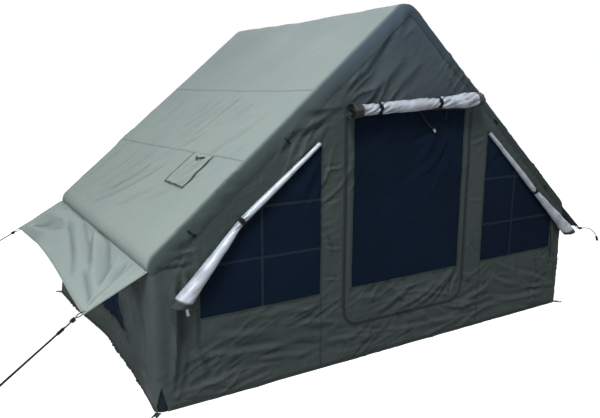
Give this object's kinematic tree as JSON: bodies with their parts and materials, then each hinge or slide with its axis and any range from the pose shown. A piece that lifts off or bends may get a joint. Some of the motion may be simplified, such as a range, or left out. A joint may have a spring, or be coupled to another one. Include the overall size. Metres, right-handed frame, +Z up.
{
  "type": "inflatable tent",
  "caption": "Ridge tent on inflated air beams, with mesh door and windows, rolled covers, side awning flaps and guy ropes.",
  "frame": {"origin": "on the ground under the middle of the groundsheet", "axes": "+Z up, -Y towards the gable with the door, +X to the right seen from outside that gable"},
  "size_m": [4.5941, 2.7441, 2],
  "materials": {
    "roof_cloth": "coated woven polyester, satin, light green-grey",
    "wall_cloth": "coated woven polyester, matte, dark green-grey",
    "mesh": "fine insect mesh, matte, near black blue",
    "silver_cloth": "cloth with a silver coating, satin, crumpled",
    "groundsheet": "heavy coated cloth, semi-matte, dark blue",
    "air_tube": "inflated air beam in a woven sleeve, matte grey",
    "strap": "woven webbing, matte black",
    "black_plastic": "moulded plastic, satin black",
    "zip_metal": "die-cast zip part, black lacquer",
    "rope": "braided cord, matte dark grey-green"
  },
  "bodies": {
    "tent": {"back_leg_left": "air_tube", "back_leg_right": "air_tube", "back_rafter_left": "air_tube", "back_rafter_right": "air_tube", "door_cover_roll": "silver_cloth", "door_post_left": "wall_cloth", "door_post_right": "wall_cloth", "door_roll_strap_left": "strap", "door_roll_strap_right": "strap", "door_threshold": "wall_cloth", "door_zip_tape": "strap", "eave_tube_left": "air_tube", "eave_tube_right": "air_tube", "front_leg_left": "air_tube", "front_leg_right": "air_tube", "front_peak_panel": "wall_cloth", "front_rafter_left": "air_tube", "front_rafter_panel_left": "wall_cloth", "front_rafter_panel_right": "wall_cloth", "front_rafter_right": "air_tube", "front_wall_left": "wall_cloth", "front_wall_right": "wall_cloth", "front_window_mesh_left": "mesh", "front_window_mesh_right": "mesh", "gable_back": "wall_cloth", "groundsheet": "groundsheet", "peg_tab_back_left": "strap", "peg_tab_back_right": "strap", "peg_tab_front_left": "strap", "peg_tab_front_right": "strap", "ridge_tube": "air_tube", "roof_panel_left": "roof_cloth", "roof_panel_right": "roof_cloth", "side_window_mesh_left": "mesh", "side_window_mesh_right": "mesh", "valve_body": "black_plastic", "wall_left": "wall_cloth", "wall_right": "wall_cloth", "window_cover_roll_left": "silver_cloth", "window_cover_roll_right": "silver_cloth", "window_roll_strap_left": "strap", "window_roll_strap_right": "strap"},
    "awning_left": {"awning_flap_left": "roof_cloth", "guy_hook_left_front": "black_plastic", "guy_hook_left_back": "black_plastic", "guy_rope_left_front": "rope", "guy_rope_left_back": "rope"},
    "awning_right": {"awning_flap_right": "roof_cloth", "guy_hook_right_front": "black_plastic", "guy_rope_right_front": "rope"},
    "door_leaf": {"door_border": "wall_cloth", "door_mesh": "mesh"},
    "port_cover": {"roof_port_cover": "roof_cloth"},
    "slider_left": {"zip_slider_left": "zip_metal"},
    "slider_right": {"zip_slider_right": "zip_metal"},
    "pull_left": {"zip_pull_left": "zip_metal"},
    "pull_right": {"zip_pull_right": "zip_metal"},
    "cap": {"valve_cap": "black_plastic"},
    "runner_left": {"rope_runner_left_front": "black_plastic"},
    "runner_right": {"rope_runner_right_front": "black_plastic"}
  },
  "joints": [
    {"name": "awning_left_swing", "type": "hinge", "parent": "tent", "child": "awning_left", "pos_m": [-1.51582, 0, 0.7108], "axis": [0, 1, 0], "range_deg": [-28, 48], "deforming": ["guy_rope_left_front", "guy_rope_left_back"]},
    {"name": "awning_right_swing", "type": "hinge", "parent": "tent", "child": "awning_right", "pos_m": [1.51582, 0, 0.7108], "axis": [0, -1, 0], "range_deg": [-22, 55], "deforming": ["guy_rope_right_front"]},
    {"name": "door_swing", "type": "hinge", "parent": "tent", "child": "door_leaf", "pos_m": [0.045, -1.0485, 1.428], "axis": [1, 0, 0], "range_deg": [0, 60]},
    {"name": "port_cover_lift", "type": "hinge", "parent": "tent", "child": "port_cover", "pos_m": [-1.01285, -0.541, 1.1863], "axis": [0, 1, 0], "range_deg": [0, 140]},
    {"name": "zip_left_slide", "type": "slide", "parent": "tent", "child": "slider_left", "axis": [-1, 0, 0], "range_m": [0, 0.285]},
    {"name": "zip_right_slide", "type": "slide", "parent": "tent", "child": "slider_right", "axis": [1, 0, 0], "range_m": [0, 0.315]},
    {"name": "zip_left_pull", "type": "hinge", "parent": "slider_left", "child": "pull_left", "pos_m": [-0.015, -1.0593, 0.215], "axis": [0, 0, -1], "range_deg": [0, 180]},
    {"name": "zip_right_pull", "type": "hinge", "parent": "slider_right", "child": "pull_right", "pos_m": [0.075, -1.0593, 0.215], "axis": [0, 0, 1], "range_deg": [0, 180]},
    {"name": "valve_cap_turn", "type": "hinge", "parent": "tent", "child": "cap", "pos_m": [-1.35296, -0.962, 0.34], "axis": [1, 0, 0], "range_deg": [0, 540]},
    {"name": "runner_left_slide", "type": "slide", "parent": "awning_left", "child": "runner_left", "axis": [-0.8018, 0.0145, -0.5974], "range_m": [-0.03, 0.3]},
    {"name": "runner_right_slide", "type": "slide", "parent": "awning_right", "child": "runner_right", "axis": [0.4472, 0, -0.8944], "range_m": [-0.015, 0]}
  ]
}
